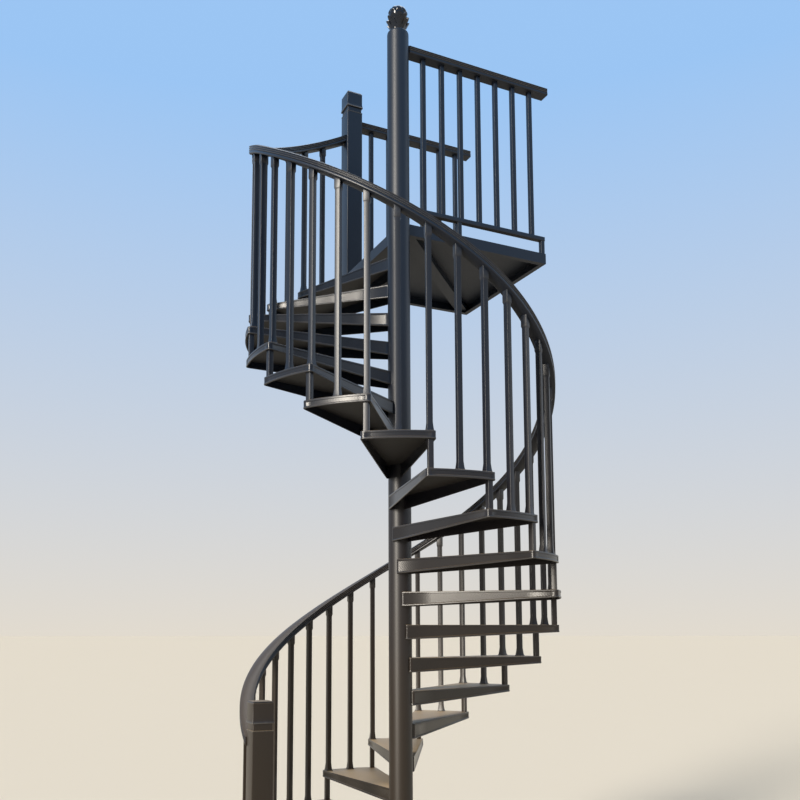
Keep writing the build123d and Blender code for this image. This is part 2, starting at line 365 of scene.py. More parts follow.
def painted_sky_tint(finish):
    """The paint's colour with its painted reflection tint, blue-black high on the stair as a mirrored blue
    sky and brown-black low on it as a warm reflection, in slow clouds, and the clouds."""
    tones = settings().colours
    clouds = finish.noise(2.3, 4.0)
    # painted reflection: brown-black low on the stair turns to blue-black high on it by height
    height = finish.place().part("Z") + (clouds - 0.5) * 0.9
    share = 1 - height.between(tones.brown_below, tones.blue_above)
    return finish.blend(share, tones.paint, tones.brown), clouds


def satin_paint(name, grain, dusting=0.5, gloss=0.29):
    """Satin paint with a fine orange peel, cloudy sheen, rubbed spots where the mesh says so and some dust on
    level faces. grain is the peel's size in metres, dusting the share of dust and gloss the least
    roughness."""
    tones = settings().colours
    finish = Finish(name)
    paint, clouds = painted_sky_tint(finish)
    specks = finish.noise(55.0, 2.0)
    peel = finish.noise(1.0 / grain, 2.0)
    rub = (finish.painted("rub") * (0.45 + 0.9 * specks)).between(0.18, 0.85)
    settled = finish.facing_up().between(0.55, 0.95) * (0.35 + clouds * 0.9) * dusting
    base = finish.blend(rub, paint, tones.worn)
    base = finish.blend(settled, base, tones.dust)
    sheen = gloss + clouds * 0.08 + specks * 0.05 + settled * 0.3 + finish.facing_down() * 0.3
    return finish.finished(base, sheen, finish.bump(peel, grain * 0.06, 0.2), PAINT_SPECULAR)


def cast_paint(name):
    """Satin paint on sand-cast metal: a grainy skin, leaf strokes that slant both ways from the middle of
    each flange panel, rubbed borders, a dusty, foot-worn top and a dull underside darkened as painted shade.
    The strokes are a sine of the distance along plus 0.9 of the distance from the panel's middle line."""
    tones = settings().colours
    finish = Finish(name)
    paint, clouds = painted_sky_tint(finish)
    sand = finish.noise(420.0, 3.0)
    along, down = finish.surface_map("X"), finish.surface_map("Y")
    slant = along + (down - finish.painted("middle")).size() * 0.9
    strokes = (slant * (2 * math.pi / settings().steps.stroke)).sine() * 0.5 + 0.5
    leaf = strokes ** 0.7 * finish.painted("panel")
    rub = (finish.painted("rub") * (0.5 + clouds * 0.8)).between(0.2, 0.9)
    top = finish.facing_up().between(0.6, 0.95)
    settled = top * (0.55 + 0.6 * (clouds - 0.5) + 0.25 * sand)
    below = finish.facing_down()
    base = finish.blend(rub * 0.4, paint, tones.worn)
    base = finish.blend(leaf * 0.5, base, tones.stroke)
    base = finish.blend(settled, base, tones.dust)
    # painted shade: faces that look down are darkened towards the near-black underside colour
    base = finish.blend(below * 0.7, base, tones.under)
    sheen = 0.24 + sand * 0.1 + settled * 0.35 + below * 0.45
    relief = leaf * 0.2 + sand * (0.05 + 0.3 * top)
    return finish.finished(base, sheen, finish.bump(relief, 0.001, 0.5), PAINT_SPECULAR)


def floor_paint(name):
    """Plain pale studio floor with a very faint tone and no gloss."""
    finish = Finish(name)
    clouds = finish.noise(0.4, 2.0)
    pale = settings().colours.floor
    base = finish.blend(clouds * 0.3, pale, [channel * 0.97 for channel in pale])
    return finish.finished(base, 0.9, finish.bump(clouds, 0.0001, 0.1), 0.0)


# Mesh building

class Shells:
    """Points, faces and painted values of one piece, gathered from several closed shells."""

    def __init__(self):
        self.points = []
        self.faces = []
        self.maps = []
        self.painted = {}
        self.count = 0

    def add(self, points, faces, surface_map=None, **painted):
        """Adds a shell: points in rows of three, faces as rows of point numbers, a map in rows of two."""
        points = np.asarray(points, float).reshape(-1, 3)
        self.points.append(points)
        self.faces.extend((self.count + np.asarray(face)).tolist() for face in faces)
        self.maps.append(points[:, :2] if surface_map is None else np.asarray(surface_map).reshape(-1, 2))
        for name in dict.fromkeys((*self.painted, *painted)):
            held = self.painted.setdefault(name, [np.zeros(self.count)] if self.count else [])
            held.append(np.broadcast_to(painted.get(name, 0.0), len(points)))
        self.count += len(points)

    def stack(self, rings, surface_map=None, **painted):
        """Adds a stack of rings as a closed shell."""
        self.add(rings, closed_stack(rings), surface_map, **painted)

    def mesh(self, name, sharp_degrees):
        """The finished mesh, smooth apart from edges sharper than sharp_degrees."""
        made = bpy.data.meshes.new(name)
        made.from_pydata(np.concatenate(self.points).tolist(), [], self.faces)
        made.shade_smooth()
        made.set_sharp_from_angle(angle=math.radians(sharp_degrees))
        corners = np.empty(len(made.loops), int)
        made.loops.foreach_get("vertex_index", corners)
        layer = made.uv_layers.new(name="UVMap")
        layer.data.foreach_set("uv", np.concatenate(self.maps)[corners].ravel())
        for key, parts in self.painted.items():
            attribute = made.attributes.new(key, "FLOAT", "POINT")
            attribute.data.foreach_set("value", np.concatenate(parts))
        made.update()
        return made


def make_piece(name, shells, material, nodes, sharp_degrees=38.0):
    """Puts a piece in the scene, riding on the stair in place of its nodes."""
    piece = bpy.data.objects.new(name, shells.mesh(name, sharp_degrees))
    bpy.context.scene.collection.objects.link(piece)
    piece.data.materials.append(material)
    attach(piece, "root")
    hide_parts(*nodes)


def paint_node(name, material):
    """Gives its material to a node that stays in view."""
    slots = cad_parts[name].data.materials
    slots.clear()
    slots.append(material)


def grid_faces(rows, columns, wrap=True):
    """Four-cornered faces between neighbouring rows of a grid of points; wrap joins last column to first."""
    first = np.arange(columns if wrap else columns - 1)
    second = (first + 1) % columns
    base = np.arange(rows - 1)[:, None] * columns
    corners = [base + first, base + second, base + second + columns, base + first + columns]
    return np.stack(corners, -1).reshape(-1, 4)


def closed_stack(rings):
    """Faces of a stack of rings, counter-clockwise from above and rising, with flat ends."""
    rows, columns = rings.shape[:2]
    faces = list(grid_faces(rows, columns))
    faces.append(np.arange(columns)[::-1])
    faces.append(np.arange(columns) + (rows - 1) * columns)
    return faces


def placed(points, angle, shift=(0.0, 0.0, 0.0)):
    """Points moved by shift and then turned about the column by angle in radians."""
    moved = np.asarray(points) + np.asarray(shift)
    cosine, sine = math.cos(angle), math.sin(angle)
    x, y = moved[..., 0], moved[..., 1]
    return np.stack([x * cosine - y * sine, x * sine + y * cosine, moved[..., 2]], -1)


def square_rings(levels, halves, rounding, steps=3):
    """Rounded square rings at given levels and half widths: each corner is a quarter circle of the rounding,
    set in from the corner by the rounding, and straight sides join them."""
    levels, halves = np.asarray(levels, float), np.asarray(halves, float)
    quarter = np.linspace(0, math.pi / 2, steps + 1)
    turns = (np.arange(4)[:, None] * math.pi / 2 + quarter).ravel()
    side_x = np.repeat([1, -1, -1, 1], steps + 1)
    side_y = np.repeat([1, 1, -1, -1], steps + 1)
    centre = (halves - rounding)[:, None]
    x = centre * side_x + rounding * np.cos(turns)
    y = centre * side_y + rounding * np.sin(turns)
    return np.stack([x, y, np.broadcast_to(levels[:, None], x.shape)], -1)


# The stair's own line

def step_turn(number):
    """Direction of the middle of a tread: the first one's, less one turn for each step after it."""
    steps = settings().steps
    return steps.first - steps.turn * (number - 1)


def rail_ends():
    """Directions where the rail starts at the first nosing and ends at the top newel."""
    steps, bars, guards = settings().steps, settings().bars, settings().guards
    reach = steps.radius - bars.inset
    start = steps.first + steps.span / 2
    end = guards.turn + math.pi / 2 - math.asin(guards.left / reach) - 2 * math.pi
    return start, end


def rail_top(angle):
    """Top of the rail at a direction: one rise for each step turned, a little less along the last length."""
    steps, rail = settings().steps, settings().rail
    start, end = rail_ends()
    last = start + (end - start) * (rail.lengths - 1) / rail.lengths
    eased = np.maximum(0.0, last - angle) / (last - end) * rail.ease
    return RISE * (1 + (steps.first - angle) / steps.turn) + rail.over_tread - eased


def rail_slope(angle):
    """Climb of the rail for each metre along its middle line, taken over a small turn each way."""
    reach = settings().steps.radius - settings().bars.inset
    small = math.radians(0.5)
    return (rail_top(angle - small) - rail_top(angle + small)) / (2 * small * reach)


def rail_outline():
    """Points round the moulded rail, across and down from its top, from its bottom right corner
    counter-clockwise, with a rub value for each. The crown drops with the power 2.4 of the distance across;
    the sides are a cosine of the depth, one wave for each flute; a plain foot steps in below them."""
    rail = settings().rail
    half, flutes = rail.width / 2, 2.5
    shoulder, first_drop = 0.0012, 0.0008
    across = np.sin(np.linspace(0.06, 1, 9) * math.pi / 2) * (half - shoulder)
    share = across / half
    crown = np.stack([across, -rail.crown * share ** 2.4, 0.15 + 0.3 * share ** 4], -1)
    wave = np.linspace(0, flutes, 21)
    depth = rail.crown - first_drop + wave * rail.flute_pitch
    ridge = 0.5 + 0.5 * np.cos(2 * math.pi * wave)
    side = np.stack([half - rail.flute_depth * (1 - ridge), -depth, 0.6 * ridge ** 2 + 0.02], -1)
    # across, level and rub of the foot's points
    foot = [(half - 0.0008, -depth[-1] - 0.0022, 0.1), (half - 0.0006, 0.0044 - rail.height, 0.25),
            (half - 0.0014, 0.0013 - rail.height, 0.25), (half - 0.003, -rail.height, 0.05)]
    right = np.concatenate([crown, side, foot])
    outline = np.concatenate([right[::-1], right * (-1, 1, 1)])
    return outline[:, :2], outline[:, 2]


def carried_rail(outline, middles, sideways):
    """Rings of the rail's outline carried along a path: across goes along sideways, and down along the
    upright."""
    upright = np.array([0.0, 0.0, 1.0])
    return middles[:, None] + outline[None, :, :1] * sideways[:, None] + outline[None, :, 1:] * upright


def straight_rail(start, end, line, top):
    """Rings of a level rail along u from start to end on the line v."""
    outline, rub = rail_outline()
    stations = 12
    u = np.linspace(start, end, stations)
    middles = np.stack([u, np.full_like(u, line), np.full_like(u, top)], -1)
    sideways = np.broadcast_to([0.0, 1.0, 0.0], middles.shape)
    rings = carried_rail(outline, middles, sideways)
    return rings, np.broadcast_to(rub, rings.shape[:2]).ravel()


def rail_map(rings):
    """A map of carried rings: along the path, and round the outline."""
    ends = rings[:, 0]
    along = np.concatenate([[0], np.cumsum(np.linalg.norm(np.diff(ends, axis=0), axis=1))])
    steps = np.linalg.norm(np.diff(rings[0], axis=0), axis=1)
    around = np.concatenate([[0], np.cumsum(steps)])
    return np.stack(np.broadcast_arrays(along[:, None], around[None]), -1)


# Column and ball

def lathe(radii, levels, sides):
    """Rings of a turned surface: at each level the circle of its radius, as so many sides."""
    turns = np.arange(sides) * 2 * math.pi / sides
    circle = np.stack([np.cos(turns), np.sin(turns)], -1)
    flat = np.asarray(radii)[:, None, None] * circle
    height = np.broadcast_to(np.asarray(levels, float)[:, None, None], (*flat.shape[:2], 1))
    return np.concatenate([flat, height], -1)


# Foot and highest tip of each row of leaves over the ball's foot, and the share of the reach that it has
LEAF_ROWS = ((0.0, 0.055, 0.98), (0.022, 0.07, 1.0), (0.056, 0.088, 0.91))


def leafy_ball(ball, foot, top):
    """Rings of the ball, with a rub value for each point. Its body is a round ball on a narrow neck. Each row
    of leaves flares from its foot to the tips' radius with a power of the way, and falls back sharply at its
    edge, which is high where a leaf has its tip, a cosine of the direction, and low between two leaves. Rows
    are turned by half a leaf, and long lobes, a power of a cosine, stand out of the dome and fade to its
    top."""
    sides, rows = 24 * ball.leaves, 180
    neck_flare, curl, belly, lobe_power = 0.12, 1.9, 0.0015, 0.6
    fade_in, fade_out, full_rub = 0.01, 0.02, 0.011
    tall = top - foot
    level = (np.linspace(0, 1, rows) ** 0.9)[:, None] * tall
    angle = np.arange(sides)[None] * 2 * math.pi / sides
    centre = tall - ball.body
    dome = np.sqrt(np.clip(ball.body ** 2 - (level - centre) ** 2, 0, None))
    radius = np.where(level < centre, np.maximum(ball.neck + neck_flare * level, dome), dome)
    lobes = np.abs(np.cos(angle * ball.leaves / 2)) ** lobe_power
    fade = np.clip((level - centre) / fade_in, 0, 1) * np.clip((tall - level) / fade_out, 0, 1)
    full = radius + fade * lobes * ball.lobe
    for row, (low, high, reach) in enumerate(LEAF_ROWS):
        petal = np.abs(np.cos((angle * ball.leaves + row * math.pi) / 2))
        edge = low + (high - low) * (0.45 + 0.55 * petal)
        way = np.clip((level - low) / (high - low), 0, 1)
        bulge = belly * np.sin(math.pi * way) * petal
        leaf = radius + (ball.tip * reach - radius) * way ** curl + bulge
        full = np.maximum(full, np.where(level <= edge, leaf, 0))
    rub = np.clip((full - radius) / full_rub, 0, 1)
    height = foot + np.broadcast_to(level, full.shape)
    return np.stack([full * np.cos(angle), full * np.sin(angle), height], -1), rub.ravel()


class STAIR_OT_column(bpy.types.Operator):
    """Builds the round column with its smooth shoulder, and paints the floor flange"""
    bl_idname = "stair.column"
    bl_label = "Column"

    def execute(self, context):
        ball = context.scene.stair.ball
        shoulder_top = BALL_TOP - ball.height
        # the shoulder is a quarter of an ellipse from the column's side to the neck
        arch = np.linspace(0, math.pi / 2, 14)
        curve = ball.neck + (COLUMN_RADIUS - ball.neck) * np.cos(arch)
        rise = shoulder_top - ball.shoulder * (1 - np.sin(arch))
        middle, sides = 2.0, 96
        rings = lathe([COLUMN_RADIUS, COLUMN_RADIUS, *curve, ball.neck],
                      [COLUMN_FOOT, middle, *rise, shoulder_top + OVERLAP], sides)
        shells = Shells()
        shells.stack(rings, rub=0.12)
        paint = satin_paint("column_paint", 0.0018, 0.5, 0.36)
        make_piece("column_tube", shells, paint, ["column", "column_cap"])
        paint_node("base_flange", satin_paint("flange_paint", 0.0018))
        return {"FINISHED"}


class STAIR_OT_ball(bpy.types.Operator):
    """Builds the leafy ball on top of the column"""
    bl_idname = "stair.ball"
    bl_label = "Leafy Ball"

    def execute(self, context):
        ball = context.scene.stair.ball
        rings, rub = leafy_ball(ball, BALL_TOP - ball.height, BALL_TOP)
        shells = Shells()
        shells.stack(rings, rub=rub * 0.15)
        paint = satin_paint("ball_paint", 0.0012, 0.3, 0.05)
        make_piece("ball_leaves", shells, paint, ["finial"], 50.0)
        return {"FINISHED"}


# Treads

def bend(before, corner, after, steps):
    """Points of the curve that leaves the first point towards the corner and arrives at the last from it:
    each is the three points weighed by the squares and product of the share of the way."""
    share = np.linspace(0, 1, steps)[:, None]
    return (1 - share) ** 2 * before + 2 * share * (1 - share) * corner + share ** 2 * after


def polar(radius, angle):
    """A flat point at a radius and a direction: the radius times the direction's cosine and sine."""
    return np.stack([radius * np.cos(angle), radius * np.sin(angle)], -1)


def panelled(count, before, after):
    """1 for each of count points, apart from 0 for the given numbers before and after the panel."""
    place = np.arange(count)
    return ((place >= before) & (place < count - after)).astype(float)


def tread_path(steps):
    """Outline of a tread from the column along its nosing, round the rim and back along its rear flange to
    the column, clockwise from above, with 1 along its panels and 0 at their borders."""
    # widths of the panels' borders, and of the step down into a panel, in metres and along the rim in radians
    at_rim, at_nosing, at_back, ramp = 0.029, 0.014, 0.012, 0.003
    rim_border, rim_ramp = math.radians(1.6), 0.004
    hub_rounding, rim_steps, hub_steps = 0.006, 7, 5
    half = steps.span / 2
    corner_turn = steps.corner / steps.radius
    nosing_out = polar(1.0, half)
    panel_start, panel_end = COLUMN_RADIUS + at_nosing, steps.radius - at_rim
    nose_stops = np.array([TREAD_START, panel_start, panel_start + ramp, 0.25, 0.45, 0.65,
                           panel_end - ramp, panel_end])
    nosing = nose_stops[:, None] * nosing_out
    first_corner = bend(nosing_out * (steps.radius - steps.corner), nosing_out * steps.radius,
                        polar(steps.radius, half - corner_turn), rim_steps)
    rim_stops = [rim_border, rim_border + rim_ramp, *(np.linspace(0.15, 0.85, 15) * steps.span),
                 steps.span - rim_border - rim_ramp, steps.span - rim_border]
    rim = polar(steps.radius, half - np.array(rim_stops))
    beside = np.array([-math.sin(half), -math.cos(half)])
    hub = polar(1.0, -half) * steps.hub_along + beside * steps.hub_offset
    outer = polar(steps.radius, -half)
    reach = np.linalg.norm(hub - outer)
    run = (hub - outer) / reach
    second_corner = bend(polar(steps.radius, -half + corner_turn), outer, outer + run * steps.corner,
                         rim_steps)
    back_stops = np.array([at_rim, at_rim + ramp, *(np.linspace(0.2, 0.8, 4) * reach),
                           reach - at_back - ramp, reach - at_back])
    back = outer + back_stops[:, None] * run
    homeward = -hub / np.linalg.norm(hub)
    hub_corner = bend(hub - run * hub_rounding, hub, hub + homeward * hub_rounding, hub_steps)
    end = -homeward[None] * TREAD_START
    path = np.concatenate([nosing, first_corner, rim, second_corner, back, hub_corner, end])
    window = np.concatenate([panelled(len(nosing), 2, 1), np.zeros(rim_steps), panelled(len(rim), 1, 1),
                             np.zeros(rim_steps), panelled(len(back), 1, 1), np.zeros(hub_steps + 1)])
    return path, window


def tread_shell(steps):
    """Points, faces, map and painted values of a tread: a profile carried along its outline. Going down it
    rounds the top edge, steps back into a sunk panel, comes out over a low bead, turns under the flange and
    climbs inside it to the plate; level faces close it above and below, and a strip closes it at the column.
    The flange's depth falls evenly from the column to the rim."""
    path, window = tread_path(steps)
    ahead = np.gradient(path, axis=0)
    ahead /= np.linalg.norm(ahead, axis=1)[:, None]
    outward = np.stack([-ahead[:, 1], ahead[:, 0]], -1)
    fall = (steps.depth_hub - steps.depth_rim) / (steps.radius - COLUMN_RADIUS)
    depth = steps.depth_hub - fall * (np.clip(path[:, 0], COLUMN_RADIUS, None) - COLUMN_RADIUS)
    edge, wall = steps.edge, steps.wall
    # inward offset, share of the recess, level from the top, share of the depth, rub, panel
    rows = np.array([
        (edge, 0, 0.0, 0, 0.5, 0), (edge * 0.5, 0, edge * 0.14, 0, 0.85, 0),
        (edge * 0.14, 0, edge * 0.5, 0, 0.85, 0), (0, 0, edge, 0, 0.6, 0), (0, 0, 0.0085, 0, 0.45, 0),
        (0.0003, 1, 0.0105, 0, 0.1, 0.2), (0.0003, 1, 0.0125, 0, 0, 1), (0.0003, 1, -0.0115, 1, 0, 1),
        (0.0003, 1, -0.0095, 1, 0.1, 0.2), (0, 0, -0.0078, 1, 0.5, 0), (-0.0007, 0, -0.006, 1, 0.8, 0),
        (-0.0011, 0, -0.0038, 1, 0.95, 0), (-0.0007, 0, -0.0016, 1, 0.8, 0), (0.0006, 0, 0.0, 1, 0.5, 0),
        (wall - 0.001, 0, 0.0, 1, 0.3, 0), (wall, 0, -0.001, 1, 0.1, 0), (wall, 0, steps.plate, 0, 0, 0)])
    inset = rows[:, :1] + rows[:, 1:2] * steps.recess * window
    level = -(rows[:, 2:3] + rows[:, 3:4] * depth)
    flat = path[None] - inset[..., None] * outward[None]
    grid = np.concatenate([flat, level[..., None]], -1)
    count, columns = grid.shape[:2]
    along = np.concatenate([[0], np.cumsum(np.linalg.norm(np.diff(path, axis=0), axis=1))])
    surface_map = np.stack(np.broadcast_arrays(along[None], level), -1).reshape(-1, 2)
    start, finish = (math.atan2(grid[0, place, 1], grid[0, place, 0]) for place in (0, -1))
    arc = polar(TREAD_START, np.linspace(finish, start, 14)[1:-1])
    upper = np.concatenate([arc, np.zeros((len(arc), 1))], 1)
    lower = upper - (0, 0, steps.plate)
    points = np.concatenate([grid.reshape(-1, 3), upper, lower])
    body = count * columns
    last = body - columns
    top_arc = [columns - 1, *range(body, body + len(arc)), 0]
    low_arc = [body - 1, *range(body + len(arc), body + 2 * len(arc)), last]
    top = [*range(columns), *top_arc[1:-1]][::-1]
    under = [*range(last, body), *low_arc[1:-1]]
    near_end = list(range(0, body, columns))
    far_end = list(range(columns - 1, body, columns))[::-1]
    strip = [[a, b, d, c] for a, b, c, d in zip(top_arc, top_arc[1:], low_arc, low_arc[1:])]
    faces = [*grid_faces(count, columns, wrap=False), top, under, near_end, far_end, *strip]
    extra = np.concatenate([arc, arc])
    values = {"rub": np.repeat(rows[:, 4], columns), "panel": np.outer(rows[:, 5], window).ravel(),
              "middle": np.tile(-depth / 2, count)}
    painted = {name: np.concatenate([value, np.zeros(len(extra))]) for name, value in values.items()}
    return points, faces, np.concatenate([surface_map, extra]), painted


class STAIR_OT_treads(bpy.types.Operator):
    """Builds the hollow treads, each turned and raised by one step"""
    bl_idname = "stair.treads"
    bl_label = "Treads"

    def execute(self, context):
        points, faces, surface_map, painted = tread_shell(context.scene.stair.steps)
        material = cast_paint("tread_paint")
        for number, node in enumerate(TREAD_NODES, 1):
            shells = Shells()
            moved = placed(points, step_turn(number), (0, 0, RISE * number))
            shells.add(moved, faces, surface_map, **painted)
            make_piece(f"step_{number:02d}", shells, material, [node], 34.0)
        return {"FINISHED"}


class STAIR_OT_rail(bpy.types.Operator):
    """Builds the helical moulded rail in one run from the start newel to the top newel"""
    bl_idname = "stair.rail"
    bl_label = "Handrail"

    def execute(self, context):
        start, end = rail_ends()
        reach = context.scene.stair.steps.radius - context.scene.stair.bars.inset
        outline, rub = rail_outline()
        stations = 341
        turns = np.linspace(start, end, stations)
        sideways = np.stack([np.cos(turns), np.sin(turns), np.zeros_like(turns)], -1)
        middles = sideways * reach + np.stack([0 * turns, 0 * turns, rail_top(turns)], -1)
        rings = carried_rail(outline, middles, sideways)
        shells = Shells()
        shells.stack(rings, rail_map(rings), rub=np.broadcast_to(rub, rings.shape[:2]).ravel())
        paint = satin_paint("rail_paint", 0.0015, 0.12)
        make_piece("stair_rail", shells, paint, RAIL_NODES, 60.0)
        return {"FINISHED"}


# Bars and newels

def bar_rings(foot, top, slope, bars):
    """Rounded square rings of a bar, with a rub value for each point: a thin plate, a foot that narrows with
    the power 0.7 of the height, the shaft, and a collar whose top is cut to the rail's slope."""
    half, soft, taper, lip, lip_edge = bars.width / 2, 0.0008, 0.009, 0.001, 0.0006
    plate_top, collar_foot = foot + bars.plate_height, top - bars.collar_height
    rise = np.array([0, 0.15, 0.35, 0.6, 1.0])
    flare = bars.shoe / 2 - (bars.shoe / 2 - half) * rise ** 0.7
    flare_levels = plate_top + (bars.shoe_height - bars.plate_height) * rise
    flare_rub = (0.3, 0.2, 0.15, 0.15, 0.2)
    # level, half width and rub of each ring
    steps = [(foot, bars.plate / 2, 0.3), (plate_top - soft, bars.plate / 2, 0.5),
             (plate_top, bars.plate / 2 - soft, 0.5), *zip(flare_levels, flare, flare_rub),
             (collar_foot - taper, half, 0.2), (collar_foot - lip, bars.collar / 2 - lip_edge, 0.4),
             (collar_foot + lip, bars.collar / 2, 0.4), (top, bars.collar / 2, 0.3)]
    levels, halves, rub = np.array(steps).T
    rings = square_rings(levels, halves, bars.rounding)
    rings[-1, :, 2] -= slope * rings[-1, :, 1]
    return rings, np.repeat(rub, rings.shape[1])


def post_rings(foot, top, bars):
    """Rounded square rings of a plain short post with slightly broken ends."""
    half, broken = bars.width / 2, 0.0008
    levels = [foot, foot + broken, top - broken, top]
    return square_rings(levels, [half - broken, half, half, half - broken], bars.rounding)


class STAIR_OT_bars(bpy.types.Operator):
    """Builds the bars that stand on the treads and the short posts that tie each tread to the one below"""
    bl_idname = "stair.bars"
    bl_label = "Bars"

    def execute(self, context):
        steps, bars, rail = context.scene.stair.steps, context.scene.stair.bars, context.scene.stair.rail
        reach = steps.radius - bars.inset
        shells = Shells()
        for number in range(1, len(TREAD_NODES) + 1):
            middle = step_turn(number)
            corner = middle + bars.corner_turn
            for turned in [middle, corner] if number > 1 else [middle]:
                top = rail_top(turned) - rail.height
                rings, rub = bar_rings(RISE * number, top, rail_slope(turned), bars)
                shells.stack(placed(rings, turned, (reach, 0, 0)), rub=rub)
            if number > 1:
                rings = post_rings(RISE * (number - 1), RISE * number - steps.plate, bars)
                shells.stack(placed(rings, corner, (steps.radius - bars.post_inset, 0, 0)), rub=0.2)
        make_piece("stair_bars", shells, satin_paint("bar_paint", 0.0016, 0.3), BAR_NODES)
        return {"FINISHED"}


def newel_rings(newels, height):
    """Rounded square rings up a newel, with a rub value for each point: shaft, thin bead, neck, flaring band,
    block and bevelled lid."""
    half, soft, cove = newels.width / 2, 0.0012, 0.008
    # half width, drop from the top and rub of each ring
    steps = [
        (half, height, 0.05), (half, newels.bead_drop, 0.05),
        (newels.bead_half - soft, newels.bead_drop, 0.4), (newels.bead_half, newels.bead_drop - soft, 0.6),
        (newels.bead_half, newels.neck_foot + soft, 0.6), (newels.bead_half - soft, newels.neck_foot, 0.4),
        (newels.neck_half, newels.neck_foot, 0.1), (newels.neck_half, newels.neck_top, 0.1),
        (newels.band_half - soft, newels.band_drop + soft, 0.7), (newels.band_half, newels.band_drop, 0.9),
        (newels.band_half - soft, newels.band_drop - soft, 0.7), (half + soft, newels.block_drop + cove, 0.1),
        (half, newels.block_drop, 0.05), (half, newels.lid_drop, 0.05),
        (half - soft, newels.lid_drop - soft, 0.5), (newels.lid_half, 0.0, 0.2)]
    halves, drops, rub = np.array(steps).T
    rings = square_rings(height - drops, halves, newels.rounding, 4)
    return rings, np.repeat(rub, rings.shape[1])


def bracket_rings(newels, guards, end_top, slope):
    """The small bracket's outline on its two sides, in the landing's own frame. It goes up the newel, out
    along the rail's underside and back down a hollow curve: its reach falls with the square of what is left
    of the way, and its drop grows with the square of the way."""
    bow = np.linspace(0, 1, 9)
    out = newels.bracket_reach * (1 - bow) ** 2
    down = newels.bracket_reach * slope * (1 - bow) ** 2 + newels.bracket_height * bow ** 2
    inside = -0.002
    outline = np.concatenate([[[inside, newels.bracket_height], [inside, 0.0]], np.stack([out, down], -1)])
    line = math.sqrt((settings().steps.radius - settings().bars.inset) ** 2 - guards.left ** 2)
    sides = np.array([0.5, -0.5])[:, None] * newels.bracket_thickness
    u, level = guards.left - outline[:, 0], end_top - outline[:, 1]
    return np.stack(np.broadcast_arrays(u[None], line + sides, level[None]), -1)


class STAIR_OT_newels(bpy.types.Operator):
    """Builds the two square newels, and the small bracket under the end of the rail"""
    bl_idname = "stair.newels"
    bl_label = "Newels"

    def execute(self, context):
        stair = context.scene.stair
        newels, guards = stair.newels, stair.guards
        paint = satin_paint("newel_paint", 0.0018)
        start, end = rail_ends()
        rings, rub = newel_rings(newels, top_of("start_newel"))
        shells = Shells()
        shift = (stair.steps.radius - newels.inset, newels.width / 2, 0)
        shells.stack(placed(rings, start, shift), rub=rub)
        make_piece("newel_start", shells, paint, ["start_newel"])
        rings, rub = newel_rings(newels, top_of("top_newel") - LANDING)
        shells = Shells()
        shift = (guards.left + newels.width / 2, guards.back_v, LANDING)
        shells.stack(placed(rings, guards.turn, shift), rub=rub)
        bracket = bracket_rings(newels, guards, rail_top(end) - stair.rail.height, rail_slope(end))
        shells.stack(placed(bracket, guards.turn), rub=0.3)
        make_piece("newel_top", shells, paint, ["top_newel"])
        return {"FINISHED"}


# Landing

def along_u(start, end, line, foot, height, width, rounding):
    """Rounded square rings of a level member along u, its section height by width round the line v."""
    rings = square_rings([start, end], [0.5, 0.5], rounding / max(height, width))
    flat = rings[..., :2] * (height, width)
    return np.stack([rings[..., 2], line + flat[..., 1], foot + height / 2 - flat[..., 0]], -1)


def guard_shells(span, line, places, legs):
    """A guard in the landing's own frame, turned and raised to its place: moulded top rail, low rail, bars at
    places and short legs."""
    guards, rail, bars = settings().guards, settings().rail, settings().bars
    start, rail_end, low_end = span
    shells = Shells()
    rings, rub = straight_rail(start, rail_end, line, guards.top)
    shells.stack(placed(rings, guards.turn, (0, 0, LANDING)), rail_map(rings), rub=rub)
    low = along_u(start, low_end, line, guards.foot, guards.low_rail, guards.low_rail_width, bars.rounding)
    shells.stack(placed(low, guards.turn, (0, 0, LANDING)), rub=0.25)
    bar_foot, bar_top = guards.foot + guards.low_rail - OVERLAP, guards.top - rail.height + OVERLAP
    posts = [(place, bar_foot, bar_top) for place in places]
    posts += [(place, 0.0, guards.foot + OVERLAP) for place in legs]
    for place, foot, top in posts:
        shells.stack(placed(post_rings(foot, top, bars), guards.turn, (place, line, LANDING)), rub=0.2)
    return shells


class STAIR_OT_guards(bpy.types.Operator):
    """Builds the front and back guards on the landing"""
    bl_idname = "stair.guards"
    bl_label = "Guards"

    def execute(self, context):
        guards, half = context.scene.stair.guards, context.scene.stair.bars.width / 2
        paint = satin_paint("guard_paint", 0.0016, 0.15)
        places = guards.front_first + guards.front_pitch * np.arange(guards.front_bars)
        front = guard_shells((GUARD_START, guards.right + guards.overrun, guards.right), 0.0, places,
                             [guards.front_leg, guards.right - half])
        make_piece("guard_front", front, paint, ["front_guard"])
        places = guards.back_first + guards.back_pitch * np.arange(guards.back_bars)
        begin = guards.left + context.scene.stair.newels.width - OVERLAP
        back = guard_shells((begin, guards.back_end, guards.back_end), guards.back_v, places,
                            [guards.back_leg, guards.back_end - half])
        make_piece("guard_back", back, paint, ["back_guard"])
        return {"FINISHED"}


class STAIR_OT_landing(bpy.types.Operator):
    """Gives the landing's plate and frame their paint"""
    bl_idname = "stair.landing"
    bl_label = "Landing"

    def execute(self, context):
        paint = satin_paint("landing_paint", 0.0022, 0.8)
        paint_node("landing_plate", paint)
        paint_node("landing_frame", paint)
        return {"FINISHED"}


# Stage

CAMERA_PLACE = (0.0, -4.417, 1.602)
CAMERA_PITCH, CAMERA_YAW, CAMERA_ROLL = math.radians(6.59), math.radians(-1.84), math.radians(0.03)
FOCAL_PIXELS, PICTURE, CENTRE = 866.9, 800.0, (372.3, 532.3)
SENSOR = 36.0
FLOOR_REACH = 400.0
LAMP_HEIGHT = 8.0
WARM, COOL, PLAIN = (1.0, 0.92, 0.80), (0.86, 0.93, 1.0), (1.0, 0.99, 0.97)
